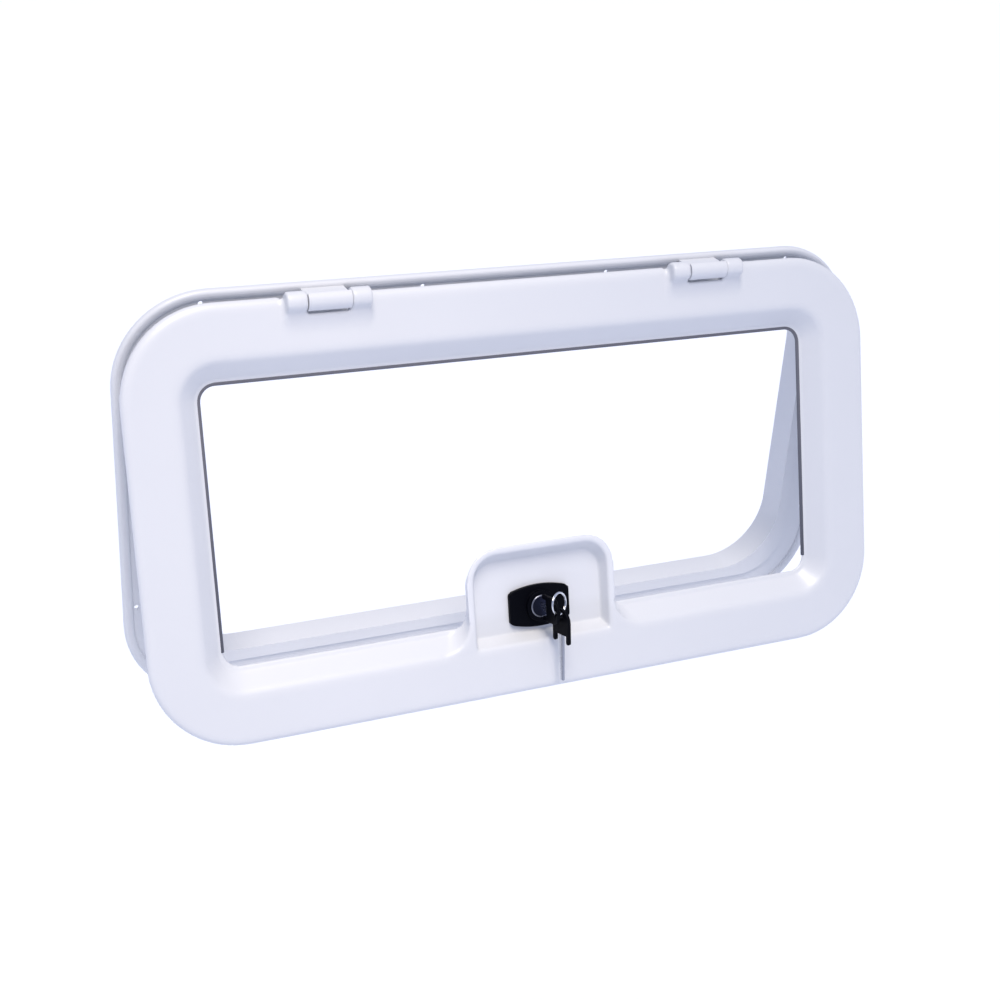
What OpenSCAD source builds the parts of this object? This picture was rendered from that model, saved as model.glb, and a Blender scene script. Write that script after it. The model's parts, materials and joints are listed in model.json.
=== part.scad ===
/* [Wall frame] */
// Overall width of the wall frame
frame_w = 651; // [560:1:900]
// Overall height of the wall frame
frame_h = 348; // [310:1:500]
// Outer corner radius of the wall frame
frame_r = 73; // [66:1:90]
// Thickness of the flange behind the screw channel
flange_t = 2.5; // [2:0.5:4]
// Width of the rounded bead round the frame's edge
bead_w = 6; // [4:0.5:7]
// Height of the bead in front of the vehicle wall
bead_h = 5.5; // [4.5:0.5:6]
// Distance from the frame's edge to the raised inner land
land_inset = 27; // [22:1:30]
// How far the flange runs on under the land
land_lap = 2; // [1:0.5:3]
// Height of the inner land in front of the vehicle wall
land_h = 5; // [4:0.5:5.5]
// Distance from the frame's edge to the inner face of the collar
collar_inset = 37; // [35:1:42]
// Corner radius of the collar's inner face
collar_r = 57; // [45:1:65]
// Wall thickness of the collar
collar_t = 3; // [2:0.5:4]
// How far the collar reaches into the vehicle wall
collar_depth = 22.5; // [15:0.5:40]

/* [Frame screws] */
// Radius of each screw hole
screw_r = 2; // [1.5:0.1:2.5]
// Distance from the frame's edge to the screw line
screw_inset = 10.5; // [9:0.5:13]
// Distance of the outer screws from the middle, top and bottom
screw_x_outer = 257; // [200:1:258]
// Distance of the inner screws from the middle, top and bottom
screw_x_inner = 81; // [40:1:110]
// Distance of the side screws from the middle height
screw_z_side = 84; // [50:1:95]

/* [Door ring] */
// Overall width of the door ring
door_w = 649; // [560:1:900]
// Overall height of the door ring
door_h = 336; // [310:1:500]
// Outer corner radius of the door ring
door_r = 72; // [68:1:90]
// Wall thickness of the moulding
door_t = 3; // [2:0.5:3.5]
// Depth of the rim that turns back round the door
rim_depth = 8; // [6:0.5:8]
// Rounding of the door's front edge
edge_r = 5; // [4:0.5:6]
// Distance from the door's edge to the bend of the bevel
bend_inset = 40; // [36:1:44]
// Rounding of that bend
bend_r = 9; // [5:1:14]
// Distance from the door's edge to the opening
open_inset = 58.5; // [55:0.5:62]
// Width of the flat lip round the opening
lip_w = 3.5; // [2.5:0.5:6]
// Depth of that lip behind the door's face
pan_depth = 14; // [12.5:0.5:14.5]

/* [Hinges] */
// Distance of each hinge's middle from the door's middle
hinge_x = 164.5; // [100:0.5:220]
// Height of the frame's top edge above the hinge axis
hinge_drop = 8.4; // [7:0.2:10]
// Distance of the hinge axis in front of the vehicle wall
axis_out = 21.3; // [20:0.1:26]
// Distance of the door's face behind the hinge axis, door closed
face_back = 2.4; // [1.5:0.1:3]
// Height of the door's top edge above the hinge axis
door_rise = 2; // [0:0.2:3]
// Outer radius of the hinge knuckles
knuckle_r = 7.9; // [6.6:0.1:10]
// Length of the middle knuckle, which belongs to the frame
mid_len = 34; // [24:1:44]
// Length of each outer knuckle, which belongs to the door
end_len = 16.2; // [12:0.1:24]
// Side gap between two knuckles
knuckle_gap = 0.4; // [0.4:0.1:1.5]
// Radius of the hinge pin
pin_r = 2; // [1.5:0.1:3]
// Running clearance round the hinge pin
pin_clear = 0.05; // [0.02:0.01:0.1]
// Gap under the middle knuckle, across the door's notch
notch_clear = 1.4; // [1:0.1:4]
// Height of the hinge pads on the door's face, at the knuckles
pad_t = 3.5; // [0.8:0.1:4]
// Length over which a pad runs out down the door's face
pad_len = 16; // [10:0.5:18]
// Width by which a pad is wider than its knuckles, each side
pad_side = 0; // [0:0.5:3]
// How far the frame's leaf reaches below the hinge axis
leaf_low = 3; // [2:0.5:4]
// Gap between each end of the hinge pin and the end of its bore
pin_short = 0.5; // [0.2:0.1:2]
// Thickness of plastic that closes the bore's left end, the pin goes in from the right
end_wall = 2; // [1.5:0.5:4]

/* [Lock housing] */
// Half width of the lock housing that stands up from the bottom run
tab_half = 66; // [50:0.5:80]
// Height of the housing's top above the door's bottom edge
tab_top = 124; // [110:0.5:128]
// Corner radius of the housing's top
tab_r = 26; // [15:1:32]
// Width of the raised rim round the recess
tab_rim = 4; // [3:0.5:6]
// Depth of the recess floor behind the door's face
recess_depth = 12; // [10:0.5:13]
// Slope of the recess wall, measured across, at the top
recess_slope = 9; // [6:0.5:12]
// Slope of the recess wall, measured across, at the sides
side_slope = 3; // [2:0.5:6]
// Height of the bottom ledge, measured across
ledge_h = 7; // [4:0.5:10]
// Fillet radius where the opening turns up into the housing
tab_fillet = 24; // [12:1:30]
// Share of that fillet that is built, up to its thin end
fillet_share = 0.875; // [0.8:0.005:0.9]
// Thickness of the recess floor
floor_t = 3; // [2:0.5:4]

/* [Lock] */
// Height of the lock's axis above the door's bottom edge
lock_h = 69; // [64:0.5:78]
// Length of the lock plate
plate_len = 54.4; // [46:0.2:66]
// Height of the lock plate in the middle
plate_mid = 35.5; // [30:0.5:40]
// Height of the lock plate at its ends
plate_end = 26.5; // [18:0.5:28]
// Corner radius of the lock plate
plate_corner = 2.5; // [2:0.5:5]
// Thickness of the lock plate
plate_t = 4; // [3:0.5:7]
// Radius of the raised boss round the key barrel
boss_r = 13; // [11.5:0.5:15]
// Height of that boss above the plate's face
boss_h = 4; // [0.6:0.2:5]
// Radius of the key barrel
barrel_r = 8.3; // [6:0.1:8.4]
// How far the barrel's face stands out of the boss
barrel_out = 0.3; // [0.1:0.1:1]
// Running clearance round the key barrel
turn_clear = 0.06; // [0.02:0.01:0.1]
// Depth of the key's slot in the barrel
slot_len = 16; // [14:0.5:18]
// Outer radius of the bright ring round the barrel
bezel_r = 9.4; // [8.6:0.2:10.4]
// Depth of the bright ring's seat in the boss
bezel_seat = 1; // [0.6:0.2:2]
// How far the bright ring stands out of the boss
bezel_out = 0.4; // [0.2:0.1:0.8]
// Outer radius of the bush that carries the barrel
bush_r = 10.5; // [9.5:0.5:12]
// How far the bush stands out behind the recess floor
bush_len = 13; // [11:0.5:15]
// Distance across the flats of the lock nut
nut_af = 32; // [28:1:36]
// Thickness of the lock nut
nut_t = 5; // [4:0.5:7]
// Thickness of the latch tongue
tongue_t = 3; // [2:0.5:4]
// Width of the latch tongue
tongue_w = 15; // [12:1:18]
// Reach of the latch tongue from the lock's axis
tongue_len = 32; // [28:0.5:33]
// Corner radius of the latch tongue's tip
tongue_corner = 2; // [1:0.5:4]
// Gap between the bush and the latch tongue
tongue_gap = 0.5; // [0.3:0.1:1]
// Half side of the square that drives the tongue
drive_half = 4; // [3:0.5:5]
// Radius of the head of the tongue's screw
head_r = 6; // [5.5:0.5:7]
// Height of that screw's head
head_h = 2.5; // [2:0.1:3.5]
// Length of each arm of the cross in that head
cross_len = 7; // [5:0.5:9]
// Width of those arms
cross_w = 1.2; // [0.8:0.1:1.6]
// Depth of that cross
cross_deep = 1.2; // [0.8:0.1:1.6]

/* [Lock catch] */
// Width of the catch on the collar's floor
catch_w = 40; // [30:1:60]
// Height of the catch's lip above the collar's floor
catch_h = 14; // [11:0.5:16]
// Thickness of the catch's lip and foot
catch_t = 3; // [2:0.5:4]
// How far the catch's foot reaches forward of its lip
catch_foot = 6.4; // [4:0.2:6.6]
// Gap between the catch's lip and the turned tongue
catch_gap = 5; // [3:0.5:6]

/* [Keys] */
// Thickness of a key's black head
head_t = 2.8; // [2.4:0.2:3.4]
// Width of a key's head
head_w = 22; // [20:0.5:26]
// Length of a key's head, with its two legs
head_len = 29; // [27:0.5:32]
// Width of each leg beside the blade
leg_w = 4; // [3:0.5:5]
// Depth of the gap between the legs
leg_gap = 7; // [5:0.5:9]
// Distance from the barrel to the legs of the inserted key
neck_len = 3.2; // [2.4:0.2:8]
// Radius of the eye in a key's head
eye_r = 3; // [2.4:0.1:3.4]
// Width of plastic round that eye
head_rim = 2.2; // [2:0.1:3]
// Thickness of a key's blade
blade_t = 2; // [1.6:0.1:2.4]
// Clearance round the blade in the barrel's slot
blade_clear = 0.1; // [0.05:0.05:0.3]
// Gap behind the blade's tip, at the end of the slot
blade_end = 1; // [0.5:0.5:3]
// Width of a key's blade
blade_w = 6; // [5:0.5:8]
// Length of the spare key's blade
blade_len = 40; // [30:0.5:44]
// Radius of the split ring, to the middle of its wire
ring_r = 9; // [8.5:0.5:12]
// Radius of the split ring's section
wire_r = 0.8; // [0.6:0.1:1]
// Gap between the wire and the edge of an eye where it bears
wire_slack = 0.8; // [0.6:0.1:1.2]
// Turn of the split ring about the vertical
ring_turn = 28; // [20:1:35]
// How far the ring leans over in the inserted key's eye
ring_lean = 29.5; // [15:0.5:32]
// Place of the spare key on the ring, as an angle from its lowest point
spare_at = 17.5; // [12:0.5:24]
// Turn of the spare key about the vertical
spare_turn = 80; // [74:1:84]
// Lean of the hanging spare key back towards the door
hang_lean = 5; // [0:1:12]

/* [Rest pose] */
// Angle at which the door stands ajar
ajar = 16.7; // [0:0.1:90]

/* [Hidden] */
$fn = 96;
cut = 1;
skin = 0.01;
// The origin lies on the flange's back face, in the middle of the bottom run
frame_z0 = -(collar_inset - collar_t) / 2;
frame_zc = frame_z0 + frame_h / 2;
axis_y = -axis_out;
axis_z = frame_z0 + frame_h - hinge_drop;
door_y = axis_y + face_back;
door_z0 = axis_z + door_rise - door_h;
door_zc = door_z0 + door_h / 2;
lock_z = door_z0 + lock_h;
hinge_len = mid_len + 2 * (end_len + knuckle_gap);
// Depths are measured back from the door's face
floor_y = door_y + recess_depth;
boss_front = floor_y - plate_t - boss_h;
floor_back = floor_y + floor_t;
// The housing's outer walls lean in as its recess does, down to the floor's back
lean = (recess_depth + floor_t) / recess_depth;
collar_floor = frame_z0 + collar_inset;
bush_back = floor_back + bush_len;
tongue_y = bush_back + tongue_gap;
catch_back = tongue_y - catch_gap;
// The eye lies near the free end of the inserted key's head
eye_y = boss_front - neck_len - head_len + eye_r + head_rim;
// Height of the wire above the middle of the eye that carries it
wire_rise = wire_r + wire_slack - eye_r;

function arc(cx, cy, r, a0, a1, n) =
    [for (i = [0:n]) let (a = a0 + (a1 - a0) * i / n) [cx + r * cos(a), cy + r * sin(a)]];

// Rounded rectangle in X and Z, extruded along Y from y0 to y1
module slab(w, h, r, zc, y0, y1) {
    translate([0, y1, zc]) rotate([90, 0, 0]) linear_extrude(height = y1 - y0)
        rounded(w, h, r);
}

module rounded(w, h, r) {
    square([w - 2 * r, h], center = true);
    square([w, h - 2 * r], center = true);
    for (sx = [-1, 1], sz = [-1, 1])
        translate([sx * (w / 2 - r), sz * (h / 2 - r)]) circle(r = r);
}

// Sweeps a profile round a rounded rectangle: x is the distance in from the edge, y is Y
module ring_sweep(w, h, r, zc, profile) {
    for (i = [0:3]) {
        side = i % 2 == 0;
        translate([0, 0, zc]) rotate([0, 90 * i, 0])
            translate([0, 0, -(side ? h : w) / 2]) rotate([0, -90, 0])
            linear_extrude(height = (side ? w : h) - 2 * r, center = true) polygon(profile);
    }
    turned = [for (p = profile) [r - p[0], p[1]]];
    corners = [[1, -1, 0], [-1, -1, 90], [-1, 1, 180], [1, 1, 270]];
    for (c = corners)
        translate([c[0] * (w / 2 - r), 0, zc + c[1] * (h / 2 - r)]) rotate([0, c[2], 0])
            rotate([-90, 0, 0]) rotate_extrude(angle = 90) polygon(turned);
}

// Turns what is modelled on the closed door to the angle at rest
module on_door() {
    translate([0, axis_y, axis_z]) rotate([-ajar, 0, 0])
        translate([0, -axis_y, -axis_z]) children();
}

// A cylinder along X between two places
module rod_x(r, x0, x1, y, z) {
    translate([x0, y, z]) rotate([0, 90, 0]) cylinder(r = r, h = x1 - x0);
}

// A cylinder along Y between two depths, on the lock's axis
module rod_y(r, y0, y1) {
    translate([0, y0, lock_z]) rotate([-90, 0, 0]) cylinder(r = r, h = y1 - y0);
}

// Height of the screw line over the middle, which bends down along the frame's corners
function screw_rise(x) =
    let (past = max(0, x - frame_w / 2 + frame_r), r = frame_r - screw_inset)
    frame_h / 2 - frame_r + sqrt(r * r - past * past);

module screw_holes() {
    for (sx = [-1, 1], sz = [-1, 1]) {
        for (x = [screw_x_outer, screw_x_inner])
            translate([sx * x, -bead_h - cut, frame_zc + sz * screw_rise(x)])
                rotate([-90, 0, 0]) cylinder(r = screw_r, h = bead_h + 2 * cut);
        translate([sx * (frame_w / 2 - screw_inset), -bead_h - cut, frame_zc + sz * screw_z_side])
            rotate([-90, 0, 0]) cylinder(r = screw_r, h = bead_h + 2 * cut);
    }
}

// Bead and screw channel, which runs on a little under the land
function flange_profile() = concat(
    [[0, 0]],
    arc(bead_w / 2, -bead_h + bead_w / 2, bead_w / 2, 180, 360, 10),
    [[bead_w, -flange_t], [land_inset + land_lap, -flange_t], [land_inset + land_lap, 0]]
);

module frame_flange() {
    color("white") difference() {
        union() {
            ring_sweep(frame_w, frame_h, frame_r, frame_zc, flange_profile());
            difference() {
                slab(frame_w - 2 * land_inset, frame_h - 2 * land_inset,
                    frame_r - land_inset, frame_zc, -land_h, 0);
                collar_block(collar_t, -land_h - cut, cut);
            }
        }
        screw_holes();
    }
}

// The collar's inner outline, grown by g
module collar_block(g, y0, y1) {
    slab(frame_w - 2 * (collar_inset - g), frame_h - 2 * (collar_inset - g),
        collar_r + g, frame_zc, y0, y1);
}

module frame_collar() {
    color("white") difference() {
        collar_block(collar_t, -land_h, collar_depth);
        collar_block(0, -land_h - cut, collar_depth + cut);
    }
}

// Middle knuckle with the leaf that joins it to the flange
module frame_hinge(side) {
    x0 = side * hinge_x - mid_len / 2;
    leaf = [
        [0, knuckle_r], [axis_out - bead_h, hinge_drop], [axis_out - bead_h, hinge_drop - bead_w],
        [axis_out - flange_t, hinge_drop - bead_w], [axis_out - flange_t, -leaf_low],
        [knuckle_r, -leaf_low], [0, -leaf_low]
    ];
    color("white") difference() {
        union() {
            rod_x(knuckle_r, x0, x0 + mid_len, axis_y, axis_z);
            translate([x0, axis_y, axis_z]) rotate([90, 0, 90])
                linear_extrude(height = mid_len) polygon(leaf);
        }
        rod_x(pin_r + pin_clear, x0 - cut, x0 + mid_len + cut, axis_y, axis_z);
    }
}

module hinge_pin(side) {
    x0 = side * hinge_x - hinge_len / 2;
    color("silver") rod_x(pin_r, x0 + end_wall + pin_short, x0 + hinge_len - pin_short, axis_y, axis_z);
}

// Catch on the collar's floor, behind the lock
module lock_catch() {
    lip_y = catch_back - catch_t;
    profile = [
        [lip_y - catch_foot, 0], [catch_back, 0], [catch_back, catch_h], [lip_y, catch_h],
        [lip_y, catch_t], [lip_y - catch_foot, catch_t]
    ];
    color("white") translate([-catch_w / 2, 0, collar_floor]) rotate([90, 0, 90])
        linear_extrude(height = catch_w) polygon(profile);
}

// Shell of the door ring: rim, face, bevel and lip, open at the back
function door_profile() =
    let (
        lip_s = open_inset - lip_w,
        slope = atan2(pan_depth, lip_s - bend_inset),
        back = door_t * tan(slope / 2)
    )
    concat(
        [[0, door_y + rim_depth]],
        arc(edge_r, door_y + edge_r, edge_r, 180, 270, 8),
        arc(bend_inset - bend_r * tan(slope / 2), door_y + bend_r, bend_r, 270, 270 + slope, 6),
        [[lip_s, door_y + pan_depth], [open_inset, door_y + pan_depth],
        [open_inset, door_y + pan_depth + door_t], [lip_s - back, door_y + pan_depth + door_t],
        [bend_inset - back, door_y + door_t], [door_t, door_y + door_t],
        [door_t, door_y + rim_depth]]
    );

module door_ring() {
    notch_z = axis_z - knuckle_r - notch_clear;
    color("white") on_door() difference() {
        ring_sweep(door_w, door_h, door_r, door_zc, door_profile());
        for (side = [-1, 1])
            translate([side * hinge_x - hinge_len / 2, door_y - cut, notch_z])
                cube([hinge_len, rim_depth + 2 * cut, door_h]);
        translate([-tab_half, door_y - cut, door_z0 + bend_inset])
            cube([2 * tab_half, pan_depth + door_t + 2 * cut, open_inset]);
    }
}

// Outline of the lock housing between two depths
module tab_outline(grow, top, bottom, r, y0, y1) {
    half = tab_half + grow;
    translate([0, y1, 0]) rotate([90, 0, 0]) linear_extrude(height = y1 - y0) union() {
        translate([-half, bottom]) square([2 * half, top - r - bottom]);
        translate([-half + r, bottom]) square([2 * (half - r), top - bottom]);
        for (sx = [-1, 1]) translate([sx * (half - r), top - r]) circle(r = r);
    }
}

// Corner between the opening's edge and the housing's leaning side, rounded along the bevel
module tab_corner() {
    lip_s = open_inset - lip_w;
    inward = side_slope * pan_depth / recess_depth;
    reach = tab_fillet * fillet_share + inward;
    difference() {
        hull() {
            translate([tab_half - inward, door_y, door_z0 + bend_inset])
                cube([reach, skin, tab_fillet]);
            translate([tab_half - inward, door_y + pan_depth, door_z0 + lip_s])
                cube([reach, skin, tab_fillet]);
        }
        hull() {
            translate([tab_half + tab_fillet, door_y, door_z0 + bend_inset + tab_fillet])
                rotate([90, 0, 0]) cylinder(r = tab_fillet, h = cut, $fn = 64);
            translate([tab_half - inward + tab_fillet, door_y + pan_depth + cut,
                door_z0 + lip_s + tab_fillet])
                rotate([90, 0, 0]) cylinder(r = tab_fillet, h = cut, $fn = 64);
        }
    }
}

// Tray with leaning walls, moulded into the bottom run of the door ring
module lock_housing() {
    bottom = door_z0 + bend_inset;
    top = door_z0 + tab_top;
    color("white") on_door() difference() {
        union() {
            hull() {
                tab_outline(0, top, bottom, tab_r, door_y, door_y + skin);
                tab_outline(-side_slope * lean, top - recess_slope * lean, bottom,
                    tab_r - side_slope * lean, floor_back - skin, floor_back);
            }
            translate([-tab_half, door_y, bottom])
                cube([2 * tab_half, floor_back - door_y, open_inset - bend_inset]);
            tab_corner();
            mirror([1, 0, 0]) tab_corner();
        }
        hull() {
            tab_outline(-tab_rim, top - tab_rim, bottom, tab_r - tab_rim, door_y - skin, door_y);
            tab_outline(-tab_rim - side_slope, top - tab_rim - recess_slope, bottom + ledge_h,
                tab_r - tab_rim - side_slope, floor_y - skin, floor_y);
        }
        rod_y(bush_r, floor_y - cut, floor_back + cut);
    }
}

// Two outer knuckles, the blocks that carry them and the pad that runs out down the face
module door_hinge(side) {
    xc = side * hinge_x;
    notch_z = axis_z - knuckle_r - notch_clear;
    pad_r = (pad_len * pad_len + pad_t * pad_t) / (2 * pad_t);
    pad = concat(
        [[door_y, notch_z]],
        arc(door_y - pad_r, notch_z - pad_len, pad_r, 0, asin(pad_len / pad_r), 8)
    );
    color("white") on_door() difference() {
        union() {
            for (x = [xc - hinge_len / 2, xc + mid_len / 2 + knuckle_gap]) {
                rod_x(knuckle_r, x, x + end_len, axis_y, axis_z);
                translate([x, axis_y, notch_z])
                    cube([end_len, face_back + rim_depth, axis_z + door_rise - notch_z]);
            }
            translate([xc - hinge_len / 2 - pad_side, 0, 0]) rotate([90, 0, 90])
                linear_extrude(height = hinge_len + 2 * pad_side) polygon(pad);
        }
        rod_x(pin_r + pin_clear, xc - hinge_len / 2 + end_wall, xc + hinge_len / 2 + cut,
            axis_y, axis_z);
    }
}

module lock_bush() {
    color("dimgray") on_door() difference() {
        rod_y(bush_r, floor_y, bush_back);
        rod_y(barrel_r + turn_clear, floor_y - cut, bush_back + cut);
    }
}

module lock_nut() {
    color("dimgray") on_door() difference() {
        translate([0, floor_back, lock_z]) rotate([-90, 0, 0])
            cylinder(r = nut_af / 2 / cos(30), h = nut_t, $fn = 6);
        rod_y(bush_r, floor_back - cut, floor_back + nut_t + cut);
    }
}

// Outline of the lock plate: straight ends, arched top and bottom
function plate_outline() =
    let (
        half = plate_len / 2,
        rise = (plate_mid - plate_end) / 2,
        r = (half * half + rise * rise) / (2 * rise),
        sweep = asin((half - plate_corner) / r),
        end_z = plate_end / 2 - plate_corner
    )
    concat(
        arc(0, plate_mid / 2 - r, r, 90 - sweep, 90 + sweep, 16),
        arc(-half + plate_corner, end_z, plate_corner, 90 + sweep, 180, 6),
        arc(-half + plate_corner, -end_z, plate_corner, 180, 270 - sweep, 6),
        arc(0, r - plate_mid / 2, r, 270 - sweep, 270 + sweep, 16),
        arc(half - plate_corner, -end_z, plate_corner, 270 + sweep, 360, 6),
        arc(half - plate_corner, end_z, plate_corner, 0, 90 - sweep, 6)
    );

module lock_plate() {
    color("black") on_door() difference() {
        union() {
            translate([0, floor_y, lock_z]) rotate([90, 0, 0])
                linear_extrude(height = plate_t) polygon(plate_outline());
            rod_y(boss_r, boss_front, floor_y);
        }
        rod_y(barrel_r + turn_clear, boss_front - cut, floor_y + cut);
        rod_y(bezel_r, boss_front - cut, boss_front + bezel_seat);
    }
}

// Bright ring let into the boss round the key barrel
module barrel_ring() {
    r0 = barrel_r + turn_clear;
    color("silver") on_door() translate([0, boss_front + bezel_seat, lock_z])
        rotate([-90, 0, 0]) rotate_extrude() polygon([
            [r0, 0], [r0, -bezel_seat - bezel_out], [bezel_r - bezel_out, -bezel_seat - bezel_out],
            [bezel_r, -bezel_seat], [bezel_r, 0]
        ]);
}

module latch_tongue() {
    color("silver") on_door() difference() {
        union() {
            translate([0, tongue_y, lock_z - tongue_w / 2])
                cube([tongue_len - tongue_corner, tongue_t, tongue_w]);
            translate([0, tongue_y, lock_z - tongue_w / 2 + tongue_corner])
                cube([tongue_len, tongue_t, tongue_w - 2 * tongue_corner]);
            for (s = [-1, 1])
                translate([tongue_len - tongue_corner, tongue_y,
                    lock_z + s * (tongue_w / 2 - tongue_corner)])
                    rotate([-90, 0, 0]) cylinder(r = tongue_corner, h = tongue_t);
            rod_y(tongue_w / 2, tongue_y, tongue_y + tongue_t);
        }
        translate([-drive_half, tongue_y - cut, lock_z - drive_half])
            cube([2 * drive_half, tongue_t + 2 * cut, 2 * drive_half]);
    }
}

module tongue_screw() {
    color("silver") on_door() difference() {
        rod_y(head_r, tongue_y + tongue_t, tongue_y + tongue_t + head_h);
        for (a = [0, 90])
            translate([0, tongue_y + tongue_t + head_h, lock_z]) rotate([0, a, 0])
                cube([cross_len, 2 * cross_deep, cross_w], center = true);
    }
}

// Barrel with the key's slot in front and the tongue's square behind
module key_barrel() {
    slack = blade_clear;
    color("silver") on_door() difference() {
        union() {
            rod_y(barrel_r, boss_front - barrel_out, tongue_y);
            translate([-drive_half, tongue_y - cut, lock_z - drive_half])
                cube([2 * drive_half, tongue_t + cut, 2 * drive_half]);
        }
        translate([-blade_t / 2 - slack, boss_front - cut, lock_z - blade_w / 2 - slack])
            cube([blade_t + 2 * slack, slot_len + cut, blade_w + 2 * slack]);
    }
}

module key_blade() {
    root = boss_front - neck_len - leg_gap;
    color("silver") on_door() translate([-blade_t / 2, root, lock_z - blade_w / 2])
        cube([blade_t, boss_front - root + slot_len - blade_end, blade_w]);
}

// Key head with the eye at the origin: round free end, two legs beside the blade
module head_shape() {
    half = head_w / 2;
    top = eye_r + head_rim;
    low = top - head_len;
    r = leg_w / 2;
    notch = half - leg_w;
    difference() {
        polygon(concat(
            arc(0, top - half, half, 0, 180, 32),
            arc(-half + r, low + r, r, 180, 360, 8),
            [[-notch, low + leg_gap], [notch, low + leg_gap]],
            arc(half - r, low + r, r, 180, 360, 8)
        ));
        circle(r = eye_r);
    }
}

module key_head() {
    color("black") on_door() translate([-head_t / 2, eye_y, lock_z])
        rotate([90, 0, 90]) rotate([0, 0, 90]) linear_extrude(height = head_t) head_shape();
}

// The ring stands up from the eye of the inserted key; the origin is the ring's centre
module at_ring() {
    side = ring_r * sin(ring_lean);
    on_door() translate([
        side * cos(ring_turn), eye_y + side * sin(ring_turn),
        lock_z + ring_r * cos(ring_lean) + wire_rise
    ]) children();
}

module split_ring() {
    color("silver") at_ring() rotate([90, 0, ring_turn])
        rotate_extrude() translate([ring_r, 0]) circle(r = wire_r, $fn = 24);
}

// Carries the spare key to its place on the ring, with its own eye at the origin
module at_spare() {
    out = ring_r * sin(spare_at);
    at_ring() translate([
        out * cos(ring_turn), out * sin(ring_turn), wire_rise - ring_r * cos(spare_at)
    ]) rotate([hang_lean, 0, 0]) rotate([0, 0, -spare_turn]) children();
}

module spare_key_head() {
    color("black") at_spare() translate([0, head_t / 2, 0]) rotate([90, 0, 0])
        linear_extrude(height = head_t) head_shape();
}

module spare_key_blade() {
    root = eye_r + head_rim - head_len + leg_gap;
    color("silver") at_spare() translate([-blade_w / 2, -blade_t / 2, root - blade_len])
        cube([blade_w, blade_t, blade_len]);
}

frame_flange();
frame_collar();
frame_hinge(-1);  // frame_hinge_left
frame_hinge(1);  // frame_hinge_right
hinge_pin(-1);  // hinge_pin_left
hinge_pin(1);  // hinge_pin_right
lock_catch();
door_ring();
lock_housing();
door_hinge(-1);  // door_hinge_left
door_hinge(1);  // door_hinge_right
lock_plate();
barrel_ring();
lock_bush();
lock_nut();
key_barrel();
latch_tongue();
tongue_screw();
key_blade();
key_head();
split_ring();
spare_key_head();
spare_key_blade();
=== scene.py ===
import json
from math import radians

import bmesh
import bpy
from mathutils import Matrix, Vector


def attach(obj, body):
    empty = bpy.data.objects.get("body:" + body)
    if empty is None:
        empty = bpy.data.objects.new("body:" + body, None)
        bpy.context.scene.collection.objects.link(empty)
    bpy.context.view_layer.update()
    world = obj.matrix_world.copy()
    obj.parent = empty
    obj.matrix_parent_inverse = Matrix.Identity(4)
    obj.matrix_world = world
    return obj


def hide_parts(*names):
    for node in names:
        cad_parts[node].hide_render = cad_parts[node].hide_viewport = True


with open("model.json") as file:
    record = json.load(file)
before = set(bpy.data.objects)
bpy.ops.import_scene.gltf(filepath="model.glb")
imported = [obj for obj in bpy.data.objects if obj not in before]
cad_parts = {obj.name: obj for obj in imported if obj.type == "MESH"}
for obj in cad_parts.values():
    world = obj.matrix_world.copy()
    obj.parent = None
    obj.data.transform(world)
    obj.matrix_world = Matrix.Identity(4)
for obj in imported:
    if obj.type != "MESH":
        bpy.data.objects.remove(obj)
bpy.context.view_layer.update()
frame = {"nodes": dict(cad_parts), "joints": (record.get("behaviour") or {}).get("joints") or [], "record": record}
nodes = frame["nodes"]
print("frame loaded:", len(nodes), "nodes")


def srgb(hexCode):
    # screen colour to the linear value that a shader socket takes
    channels = [int(hexCode[i:i + 2], 16) / 255 for i in (1, 3, 5)]
    linear = [c / 12.92 if c <= 0.04045 else ((c + 0.055) / 1.055) ** 2.4 for c in channels]
    return (*linear, 1.0)


# camera: about 1.35 m off, to the left of the hatch and above it. right and up are the picture's.
shot = {
    "place": (-0.50792, -1.06554, 0.68428),
    "right": (0.91301, -0.40388, 0.05756),
    "up": (0.12672, 0.41487, 0.90103),
    "lens": 54.64,
    "sensor": 36.0,
}
camera = bpy.data.objects.new("shotCamera", bpy.data.cameras.new("shotCamera"))
camera.data.lens = shot["lens"]
camera.data.sensor_width = shot["sensor"]
bpy.context.scene.collection.objects.link(camera)
right, up = Vector(shot["right"]).normalized(), Vector(shot["up"]).normalized()
facing = Matrix((right, up, right.cross(up))).transposed().to_4x4()
camera.matrix_world = Matrix.Translation(shot["place"]) @ facing
bpy.context.scene.camera = camera
bpy.context.scene.view_settings.view_transform = "Standard"
print("camera set")

# studio: white floor, pale blue sky of nearly the same strength all round, a wide soft sun from
# high in front, and a warm spot whose faded edge leaves the right end of the hatch a little darker
studio = {
    "floorDrop": 1.5, "floorSize": 40.0, "floorColour": "#f2f6ff", "floorRoughness": 0.9,
    "sky": "#cad4f3", "skyFront": 0.77, "skyBack": 0.80, "skyToward": (-0.5, -0.866, 0.0),
    "sunFrom": (-0.12, -0.34, 0.91), "sunSoft": 28.0, "sunColour": "#fff7ec", "sunStrength": 2.35,
    "spotPlace": (-0.35, -1.5, 1.9), "spotAim": (-0.18, 0.0, 0.14), "spotAngle": 24.0,
    "spotColour": "#fff0de", "spotPower": 85.0, "spotFade": 1.0, "spotSize": 0.35,
}


def addLight(name, kind, place, aim, colour, energy):
    data = bpy.data.lights.new(name, kind)
    data.color = srgb(colour)[:3]
    data.energy = energy
    lamp = bpy.data.objects.new(name, data)
    bpy.context.scene.collection.objects.link(lamp)
    lamp.location = place
    lamp.rotation_euler = (Vector(aim) - Vector(place)).to_track_quat("-Z", "Y").to_euler()
    return data


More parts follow.
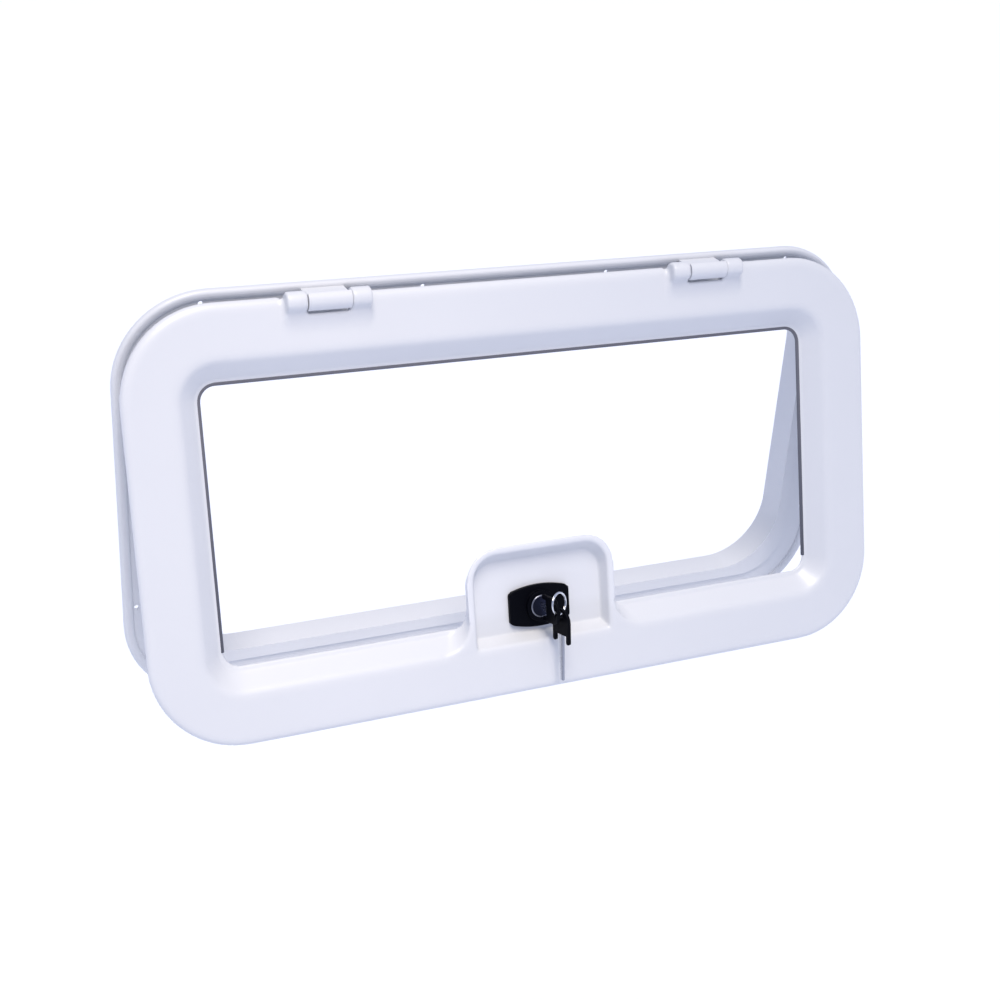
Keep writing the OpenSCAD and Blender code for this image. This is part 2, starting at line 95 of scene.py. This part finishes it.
softSun = addLight("softSun", "SUN", studio["sunFrom"], (0, 0, 0), studio["sunColour"],
                   studio["sunStrength"])
softSun.angle = radians(studio["sunSoft"])
spot = addLight("broadSpot", "SPOT", studio["spotPlace"], studio["spotAim"], studio["spotColour"],
                studio["spotPower"])
spot.spot_size = radians(studio["spotAngle"])
spot.spot_blend = studio["spotFade"]
spot.shadow_soft_size = studio["spotSize"]


def newMaterial(name):
    mat = bpy.data.materials.new(name)
    mat.use_nodes = True
    return mat, mat.node_tree, mat.node_tree.nodes["Principled BSDF"]


def plug(tree, node, inputs):
    # an output among the values is linked, anything else is set as it is
    for key, value in inputs.items():
        if hasattr(value, "is_output"):
            tree.links.new(value, node.inputs[key])
        else:
            node.inputs[key].default_value = value


def addNode(tree, kind, inputs=None, **settings):
    node = tree.nodes.new(kind)
    for key, value in settings.items():
        setattr(node, key, value)
    plug(tree, node, inputs or {})
    return node


world = bpy.data.worlds.new("paleSky")
bpy.context.scene.world = world
world.use_nodes = True
skyTree = world.node_tree
heading = addNode(skyTree, "ShaderNodeTexCoord").outputs["Generated"]
toward = addNode(skyTree, "ShaderNodeVectorMath", {0: heading, 1: studio["skyToward"]},
                 operation="DOT_PRODUCT")
glow = addNode(skyTree, "ShaderNodeMapRange", {
    "Value": toward.outputs["Value"], "From Min": -1.0, "From Max": 1.0,
    "To Min": studio["skyBack"], "To Max": studio["skyFront"]})
plug(skyTree, skyTree.nodes["Background"], {"Color": srgb(studio["sky"]),
                                            "Strength": glow.outputs["Result"]})

bpy.ops.mesh.primitive_plane_add(size=studio["floorSize"], location=(0, 0, -studio["floorDrop"]))
floor = bpy.context.object
floor.name = "studioFloor"
floorMat, floorTree, floorShader = newMaterial("paleFloor")
plug(floorTree, floorShader, {"Base Color": srgb(studio["floorColour"]),
                              "Roughness": studio["floorRoughness"]})
floor.data.materials.append(floorMat)
print("studio set")

# white ABS, injection moulded: a satin sheen whose gloss changes slowly over the surface, with very
# faint darker patches. The real grain is finer than the render shows, so it is drawn 0.5 mm wide.
whiteAbs = {
    "colour": "#d0d2d6", "shade": "#cdcfd3", "roughness": (0.30, 0.38), "ior": 1.5,
    "patchMm": 60.0, "patchDetail": 2.0,
    "grainMm": 0.5, "grainDetail": 3.0, "grainDepthMm": 0.02, "grainStrength": 0.25,
}


def mouldedWhite(name):
    mat, tree, shader = newMaterial(name)
    place = addNode(tree, "ShaderNodeTexCoord").outputs["Object"]
    patch = addNode(tree, "ShaderNodeTexNoise", {
        "Vector": place, "Scale": 1000 / whiteAbs["patchMm"], "Detail": whiteAbs["patchDetail"]})
    grain = addNode(tree, "ShaderNodeTexNoise", {
        "Vector": place, "Scale": 1000 / whiteAbs["grainMm"], "Detail": whiteAbs["grainDetail"]})
    tint = addNode(tree, "ShaderNodeMix", {
        "Factor": patch.outputs["Fac"], "A": srgb(whiteAbs["colour"]), "B": srgb(whiteAbs["shade"])},
        data_type="RGBA")
    low, high = whiteAbs["roughness"]
    rough = addNode(tree, "ShaderNodeMapRange", {
        "Value": patch.outputs["Fac"], "To Min": low, "To Max": high})
    bump = addNode(tree, "ShaderNodeBump", {
        "Height": grain.outputs["Fac"], "Strength": whiteAbs["grainStrength"],
        "Distance": whiteAbs["grainDepthMm"] / 1000})
    plug(tree, shader, {"Base Color": tint.outputs["Result"], "Roughness": rough.outputs["Result"],
                        "Normal": bump.outputs["Normal"], "IOR": whiteAbs["ior"]})
    return mat


def patchyGloss(name, colour, roughness, spread, patchMm, metallic=0.0, mirror=0.5, detail=3.0):
    # one colour, with a gloss that varies in small patches
    mat, tree, shader = newMaterial(name)
    place = addNode(tree, "ShaderNodeTexCoord").outputs["Object"]
    patch = addNode(tree, "ShaderNodeTexNoise", {
        "Vector": place, "Scale": 1000 / patchMm, "Detail": detail})
    rough = addNode(tree, "ShaderNodeMapRange", {
        "Value": patch.outputs["Fac"], "To Min": roughness - spread, "To Max": roughness + spread})
    plug(tree, shader, {"Base Color": srgb(colour), "Roughness": rough.outputs["Result"],
                        "Metallic": metallic, "Specular IOR Level": mirror})
    return mat


# plated steel of the pins, screws and key blades: a clear shine with slight smears
platedSteel = {"colour": "#c3c6cc", "roughness": 0.26, "spread": 0.07, "patchMm": 3.0, "metallic": 1.0}
finishes = {
    "abs_white": mouldedWhite("whiteAbs"),
    # moulded nylon of the plate and the key heads: nearly black, with a weak, dull sheen
    "black_plastic": patchyGloss("blackNylon", "#04050b", roughness=0.48, spread=0.08, patchMm=1.5,
                                 mirror=0.05),
    # cast zinc of the barrel: dark bluish metal whose gloss breaks up in fine spots. The real ones
    # are finer, and are drawn 0.9 mm wide to show.
    "zinc": patchyGloss("dieCastZinc", "#2f3242", roughness=0.4, spread=0.14, patchMm=0.9,
                        metallic=1.0),
    # chrome of the split ring: bright, with sharp lights
    "chrome": patchyGloss("brightChrome", "#d9dbe0", roughness=0.14, spread=0.05, patchMm=4.0,
                          metallic=1.0),
    "steel": patchyGloss("platedSteel", **platedSteel),
}
slotOf = {s["node"]: s["material_slot"] for s in frame["record"]["subparts"]}
for name, node in nodes.items():
    node.data.materials.clear()
    node.data.materials.append(finishes[slotOf[name]])
# satin nickel of the ring round the barrel: greyer and softer than the chrome
satinNickel = patchyGloss("satinNickel", "#9b9da8", roughness=0.3, spread=0.08, patchMm=2.0,
                          metallic=1.0)
nodes["barrel_ring"].data.materials[0] = satinNickel
print("finishes set")

# the solids' triangles don't share their corners until they are merged
mergeDistance = 1e-5


def mergedCopy(nodeNames, turn=Matrix.Identity(4)):
    # the loose triangles of one or more nodes as one closed mesh
    mesh = bmesh.new()
    for nodeName in nodeNames:
        mesh.from_mesh(nodes[nodeName].data)
    bmesh.ops.remove_doubles(mesh, verts=mesh.verts, dist=mergeDistance)
    bmesh.ops.recalc_face_normals(mesh, faces=mesh.faces)
    mesh.transform(turn)
    return mesh


def asObject(name, mesh, material, smooth=True):
    data = bpy.data.meshes.new(name)
    mesh.to_mesh(data)
    mesh.free()
    data.materials.append(material)
    for face in data.polygons:
        face.use_smooth = smooth
    piece = bpy.data.objects.new(name, data)
    bpy.context.scene.collection.objects.link(piece)
    return piece


def bakeModifiers(piece):
    graph = bpy.context.evaluated_depsgraph_get()
    baked = bpy.data.meshes.new_from_object(piece.evaluated_get(graph))
    old = piece.data
    piece.modifiers.clear()
    piece.data = baked
    bpy.data.meshes.remove(old)


def smoothStep(value):
    t = max(0.0, min(1.0, value))
    return t * t * (3 - 2 * t)


# door moulding: ring, housing and hinge pads run into one another with soft bends, as moulded.
# It is worked on with the door closed, where its front is upright, and turned back at the end.
swing = next(j for j in frame["joints"] if j["name"] == "door_swing")
pinPlace, closedAngle = swing["pos_m"], swing["range_deg"][0]
closing = (Matrix.Translation(pinPlace) @ Matrix.Rotation(radians(closedAngle), 4, Vector(swing["axis"]))
           @ Matrix.Translation(-Vector(pinPlace)))
doorParts = ["door_ring", "lock_housing", "door_hinge_left", "door_hinge_right"]
moulding = {
    "voxel": 0.0014, "smoothRounds": 8, "smoothShare": 0.5, "keepFaces": 0.42,
    "grow": 0.0010, "growTop": 0.0021, "topBand": 0.06,       # how far the rim is pushed out
    "padBand": 0.040, "padFade": 0.010, "hingeFade": 0.004,   # where the hinges stay as they are
}
# painted light: the tray of the lock is painted a lighter white, which takes out some of the shade that its recess
# casts
trayLight = {"colour": "#e8ebf2", "share": 0.18, "fade": 0.010, "inside": 0.006, "past": 0.005}


def trayPaintedLight():
    mat = mouldedWhite("whiteAbsPaintedTrayLight")
    tree = mat.node_tree
    shader = tree.nodes["Principled BSDF"]
    points = [v.co for v in nodes["lock_housing"].data.vertices]
    wide = max(p.x for p in points) - trayLight["inside"]
    top, bottom = max(p.z for p in points), min(p.z for p in points) + 2 * trayLight["fade"]
    place = addNode(tree, "ShaderNodeTexCoord").outputs["Object"]
    apart = addNode(tree, "ShaderNodeSeparateXYZ", {"Vector": place})
    aside = addNode(tree, "ShaderNodeMath", {0: apart.outputs["X"]}, operation="ABSOLUTE")
    across = addNode(tree, "ShaderNodeMapRange", {
        "Value": aside.outputs["Value"], "From Min": wide - trayLight["fade"], "From Max": wide,
        "To Min": trayLight["share"], "To Max": 0.0})
    above = addNode(tree, "ShaderNodeMapRange", {
        "Value": apart.outputs["Z"], "From Min": bottom, "From Max": bottom + trayLight["fade"],
        "To Min": 0.0, "To Max": 1.0})
    below = addNode(tree, "ShaderNodeMapRange", {
        "Value": apart.outputs["Z"], "From Min": top, "From Max": top + trayLight["past"],
        "To Min": 1.0, "To Max": 0.0})
    upright = addNode(tree, "ShaderNodeMath", {0: above.outputs["Result"], 1: below.outputs["Result"]},
                      operation="MULTIPLY")
    mask = addNode(tree, "ShaderNodeMath", {0: across.outputs["Result"], 1: upright.outputs["Value"]},
                   operation="MULTIPLY")
    # painted light: the lighter white is mixed in over the tray's inside
    mixed = addNode(tree, "ShaderNodeMix", {
        "Factor": mask.outputs["Value"], "A": shader.inputs["Base Color"].links[0].from_socket,
        "B": srgb(trayLight["colour"])}, data_type="RGBA")
    plug(tree, shader, {"Base Color": mixed.outputs["Result"]})
    return mat


doorMoulding = asObject("doorMoulding", mergedCopy(doorParts, closing), trayPaintedLight())
remesh = doorMoulding.modifiers.new("melt", "REMESH")
remesh.mode = "VOXEL"
remesh.voxel_size = moulding["voxel"]
remesh.use_smooth_shade = True
soften = doorMoulding.modifiers.new("soften", "SMOOTH")
soften.factor = moulding["smoothShare"]
soften.iterations = moulding["smoothRounds"]
bakeModifiers(doorMoulding)

# the smoothing pulls the outline in, so the rim is pushed out again: more along the top,
# and not at the hinges, whose knuckles fit between those of the frame
ringPoints = [closing @ v.co for v in nodes["door_ring"].data.vertices]
ringTop, ringBottom = max(p.z for p in ringPoints), min(p.z for p in ringPoints)
ringMiddle = (ringBottom + ringTop) / 2
hingeSpans = []
for hingeName in ("door_hinge_left", "door_hinge_right"):
    across = [(closing @ v.co).x for v in nodes[hingeName].data.vertices]
    hingeSpans.append((min(across), max(across)))
softened = [(v.co.copy(), v.normal.copy()) for v in doorMoulding.data.vertices]
for vertex, (place, normal) in zip(doorMoulding.data.vertices, softened):
    fromHinge = min(max(low - place.x, place.x - high) for low, high in hingeSpans)
    nearPads = smoothStep((place.z - ringTop + moulding["padBand"]) / moulding["padFade"])
    free = 1 - nearPads * (1 - smoothStep(fromHinge / moulding["hingeFade"]))
    nearTop = smoothStep((place.z - ringTop + moulding["topBand"]) / moulding["topBand"])
    if normal.z * (place.z - ringMiddle) <= 0:
        nearTop = 0.0
    grow = moulding["grow"] + (moulding["growTop"] - moulding["grow"]) * nearTop
    vertex.co = place + Vector((normal.x, 0.0, normal.z)) * grow * free
lighten = doorMoulding.modifiers.new("lighten", "DECIMATE")
lighten.ratio = moulding["keepFaces"]
bakeModifiers(doorMoulding)
doorMoulding.data.transform(closing.inverted())
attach(doorMoulding, "door")
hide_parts(*doorParts)
print("door moulding:", len(doorMoulding.data.polygons), "faces")

# opening shade line: a thin dark grey tube on the opening's lip, up one side, over the top and down. It is painted
# shade, drawn for the shaded edge of the lip.
shadeLine = {"radius": 0.0016, "inset": 0.0585, "cornerRadius": 0.0135, "cornerSteps": 9, "around": 8}
# the painted shade's colour: dark grey and dull, with hardly any highlight
shadeLineGrey = patchyGloss("paintedShadeGrey", "#66676f", roughness=0.6, spread=0.08, patchMm=2.0, mirror=0.2)


def openEnd(mesh, made):
    # the rim that an extrude or a spin has just left
    last = {g for g in made if isinstance(g, bmesh.types.BMVert)}
    return [e for e in mesh.edges if e.verts[0] in last and e.verts[1] in last]


def pulled(mesh, rim, way):
    made = bmesh.ops.extrude_edge_only(mesh, edges=rim)["geom"]
    end = openEnd(mesh, made)
    bmesh.ops.translate(mesh, verts=list({v for e in end for v in e.verts}), vec=way)
    return end


def bent(mesh, rim, centre, axis, angle, steps):
    ends = list({v for e in rim for v in e.verts})
    made = bmesh.ops.spin(mesh, geom=ends + rim, cent=centre, axis=axis, angle=angle, steps=steps,
                          use_merge=False)["geom_last"]
    return openEnd(mesh, made)


def closeEnds(mesh):
    bmesh.ops.holes_fill(mesh, edges=[e for e in mesh.edges if e.is_boundary])
    bmesh.ops.recalc_face_normals(mesh, faces=mesh.faces)


def shadeLineTube():
    # a round section, drawn up the left side, round each top corner and down the right side
    corner = shadeLine["cornerRadius"]
    depth = max(p.y for p in ringPoints) - shadeLine["radius"]
    wide = max(p.x for p in ringPoints) - shadeLine["inset"]
    top, bottom = ringTop - shadeLine["inset"], ringBottom + shadeLine["inset"]
    height = top - bottom - 2 * corner
    quarter = (Vector((0, 1, 0)), radians(90), shadeLine["cornerSteps"])
    mesh = bmesh.new()
    bmesh.ops.create_circle(mesh, segments=shadeLine["around"], radius=shadeLine["radius"],
                            matrix=Matrix.Translation((-wide, depth, bottom + corner)))
    end = pulled(mesh, mesh.edges[:], (0, 0, height))
    end = bent(mesh, end, Vector((-wide + corner, depth, top - corner)), *quarter)
    end = pulled(mesh, end, (2 * (wide - corner), 0, 0))
    end = bent(mesh, end, Vector((wide - corner, depth, top - corner)), *quarter)
    pulled(mesh, end, (0, 0, -height))
    closeEnds(mesh)
    mesh.transform(closing.inverted())
    return mesh


# painted shade: a dark tube laid where the lip's edge is in shade
openingShadeLine = asObject("openingShadeLine", shadeLineTube(), shadeLineGrey)
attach(openingShadeLine, "door")
print("opening shade line laid")

# frame rim: the inner half of its bead rolls over a little further into the screw channel
bead = {"width": 0.006, "roll": 0.002, "cornerRadius": 0.073, "slack": 1e-4}


def rolledBead():
    mesh = mergedCopy(["frame_flange"])
    wide = max(v.co.x for v in mesh.verts)
    top, bottom = max(v.co.z for v in mesh.verts), min(v.co.z for v in mesh.verts)
    high = (top - bottom) / 2
    middle = top - high
    half = bead["width"] / 2
    for vertex in mesh.verts:
        x, z = vertex.co.x, vertex.co.z - middle
        pastX = abs(x) - wide + bead["cornerRadius"]
        pastZ = abs(z) - high + bead["cornerRadius"]
        if pastX > 0 and pastZ > 0:
            outward = Vector((pastX, 0, pastZ))
            past = outward.length
            outward.normalize()
        else:
            outward = Vector((1, 0, 0)) if pastX > pastZ else Vector((0, 0, 1))
            past = max(pastX, pastZ)
        inset = bead["cornerRadius"] - past    # how far the vertex lies inside the outer edge
        if half < inset < bead["width"] + bead["slack"]:
            outward = Vector((outward.x * (1 if x > 0 else -1), 0, outward.z * (1 if z > 0 else -1)))
            vertex.co -= outward * bead["roll"] * (inset - half) / half
    return mesh


frameRim = asObject("frameRim", rolledBead(), finishes["abs_white"], smooth=False)
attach(frameRim, "frame")
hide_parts("frame_flange")
print("frame rim rolled")


def spreadMatrix(points, middle):
    # how far the points lie from the middle, in each direction
    spread = Matrix(((0, 0, 0), (0, 0, 0), (0, 0, 0)))
    for point in points:
        d = point - middle
        for i in range(3):
            for j in range(3):
                spread[i][j] += d[i] * d[j]
    return spread


def steadyAxis(matrix, start, rounds=40):
    # the direction that the matrix stretches most, found from a rough start
    axis = start
    for _ in range(rounds):
        axis = (matrix @ axis).normalized()
    return axis


# the spare key's blade narrows to its tip, and the milled groove on its right side is painted shade: from the
# middle to the right edge the steel is drawn a darker grey
blade = {
    "head": 0.90, "tip": 0.55,    # the share of the width that is kept at either end
    "flank": "#c2c5cd", "groove": "#989ba4", "grooveFrom": 0.0, "grooveSoft": 0.10,
    "roughLong": Vector((0.1, -0.2, -1.0)), "roughThin": Vector((0.3, -0.9, 0.2)),
}
bladePoints = [v.co.copy() for v in nodes["spare_key_blade"].data.vertices]
bladeLow = Vector([min(p[i] for p in bladePoints) for i in range(3)])
bladeHigh = Vector([max(p[i] for p in bladePoints) for i in range(3)])
bladeMiddle = (bladeLow + bladeHigh) / 2
bladeSpread = spreadMatrix(bladePoints, bladeMiddle)
bladeLong = steadyAxis(bladeSpread, blade["roughLong"])
bladeThin = steadyAxis(bladeSpread.inverted(), blade["roughThin"])
bladeWide = bladeThin.cross(bladeLong).normalized()
if bladeWide.x < 0:
    bladeWide = -bladeWide
bladeHalf = max(abs((p - bladeMiddle).dot(bladeWide)) for p in bladePoints)
bladeReach = max(abs((p - bladeMiddle).dot(bladeLong)) for p in bladePoints)


def narrowBlade(mesh):
    for vertex in mesh.verts:
        away = vertex.co - bladeMiddle
        down = 0.5 + 0.5 * away.dot(bladeLong) / bladeReach
        keep = blade["head"] + (blade["tip"] - blade["head"]) * down
        vertex.co -= bladeWide * away.dot(bladeWide) * (1 - keep)


def steelPaintedGrooveShade():
    # plated steel again, with painted shade: a soft step to a darker grey where the groove starts
    mat = patchyGloss("steelPaintedGrooveShade", **platedSteel)
    tree = mat.node_tree
    place = addNode(tree, "ShaderNodeTexCoord").outputs["Object"]
    away = addNode(tree, "ShaderNodeVectorMath", {0: place, 1: bladeMiddle}, operation="SUBTRACT")
    aside = addNode(tree, "ShaderNodeVectorMath", {0: away.outputs["Vector"], 1: bladeWide},
                    operation="DOT_PRODUCT")
    start = bladeHalf * blade["grooveFrom"]
    dark = addNode(tree, "ShaderNodeMapRange", {
        "Value": aside.outputs["Value"], "From Min": start,
        "From Max": start + bladeHalf * blade["grooveSoft"]})
    tint = addNode(tree, "ShaderNodeMix", {
        "Factor": dark.outputs["Result"], "A": srgb(blade["flank"]), "B": srgb(blade["groove"])},
        data_type="RGBA")
    plug(tree, tree.nodes["Principled BSDF"], {"Base Color": tint.outputs["Result"]})
    return mat


# lock, keys and hinge leaves: their edges are rounded, where the solids have square ones
rounding = {"flatAngle": 0.4, "sharpAngle": 35.0, "segments": 3, "profile": 0.5}
# a leaf's top edge dips to the middle of the bead, which stays in sight above the hinge
leafTop = {"dip": 0.0036, "band": 0.001}
softEdges = [
    {"name": "hingeLeafLeft", "node": "frame_hinge_left", "body": "frame", "slot": "abs_white",
     "radius": 0.0010},
    {"name": "hingeLeafRight", "node": "frame_hinge_right", "body": "frame", "slot": "abs_white",
     "radius": 0.0010},
    {"name": "lockPlate", "node": "lock_plate", "body": "door", "slot": "black_plastic",
     "radius": 0.0008},
    {"name": "keyHead", "node": "key_head", "body": "key", "slot": "black_plastic",
     "radius": 0.0006},
    {"name": "spareKeyHead", "node": "spare_key_head", "body": "spare_key", "slot": "black_plastic",
     "radius": 0.0006},
    {"name": "spareKeyBlade", "node": "spare_key_blade", "body": "spare_key", "slot": "steel",
     "radius": 0.0003},
]


def dipLeaf(mesh):
    top = max(v.co.z for v in mesh.verts)
    for vertex in mesh.verts:
        if vertex.co.z > top - leafTop["band"]:
            vertex.co.z -= leafTop["dip"]


def roundEdges(mesh, radius):
    bmesh.ops.dissolve_limit(mesh, angle_limit=radians(rounding["flatAngle"]), verts=mesh.verts,
                             edges=mesh.edges)
    sharp = radians(rounding["sharpAngle"])
    edges = [e for e in mesh.edges if len(e.link_faces) == 2 and e.calc_face_angle(0.0) > sharp]
    bmesh.ops.bevel(mesh, geom=edges, offset=radius, offset_type="OFFSET", affect="EDGES",
                    segments=rounding["segments"], profile=rounding["profile"], material=-1,
                    clamp_overlap=True)
    bmesh.ops.triangulate(mesh, faces=[f for f in mesh.faces if len(f.verts) > 4])


for part in softEdges:
    mesh = mergedCopy([part["node"]])
    finish = finishes[part["slot"]]
    if part["body"] == "frame":
        dipLeaf(mesh)
    if part["name"] == "spareKeyBlade":
        narrowBlade(mesh)
        finish = steelPaintedGrooveShade()
    roundEdges(mesh, part["radius"])
    piece = asObject(part["name"], mesh, finish)
    weighted = piece.modifiers.new("evenShading", "WEIGHTED_NORMAL")
    weighted.keep_sharp = True
    bakeModifiers(piece)
    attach(piece, part["body"])
    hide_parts(part["node"])
print("edges rounded:", len(softEdges))

# split ring: two turns of flat wire side by side. Each turn keeps to its own side, and the wire
# crosses over between them.
coil = {"turns": 2, "stepsPerTurn": 48, "wireWide": 0.00038, "wireHigh": 0.00070, "around": 10,
        "apart": 0.5, "crossing": 0.25, "roughAxis": Vector((0.3, -0.9, 0.2))}


def woundRing():
    points = [v.co.copy() for v in nodes["split_ring"].data.vertices]
    middle = sum(points, Vector()) / len(points)
    # the points spread least along the ring's axis
    axis = steadyAxis(spreadMatrix(points, middle).inverted(), coil["roughAxis"])
    radii = [((p - middle) - axis * (p - middle).dot(axis)).length for p in points]
    radius, thick = (max(radii) + min(radii)) / 2, (max(radii) - min(radii)) / 2
    across = axis.orthogonal().normalized()
    steps = coil["turns"] * coil["stepsPerTurn"]
    # the oval section of the wire, at the start of the winding
    section = Matrix((-axis * coil["wireWide"], across * coil["wireHigh"], across.cross(axis)))
    mesh = bmesh.new()
    bmesh.ops.create_circle(mesh, segments=coil["around"], radius=1.0, matrix=Matrix.Translation(
        middle + across * radius) @ section.transposed().to_4x4())
    bmesh.ops.spin(mesh, geom=mesh.verts[:] + mesh.edges[:], cent=middle, axis=axis,
                   angle=radians(360) * coil["turns"], steps=steps, use_merge=False)
    # the sections follow one another, so a vertex's number tells how far it is wound
    for count, vertex in enumerate(mesh.verts):
        wound = (count // coil["around"]) / steps
        side = max(-1.0, min(1.0, (wound - 0.5) * 2 / coil["crossing"]))
        vertex.co += axis * side * thick * coil["apart"]
    closeEnds(mesh)
    return mesh


keyRing = asObject("keyRing", woundRing(), finishes["chrome"])
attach(keyRing, "key")
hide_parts("split_ring")
print("split ring wound")
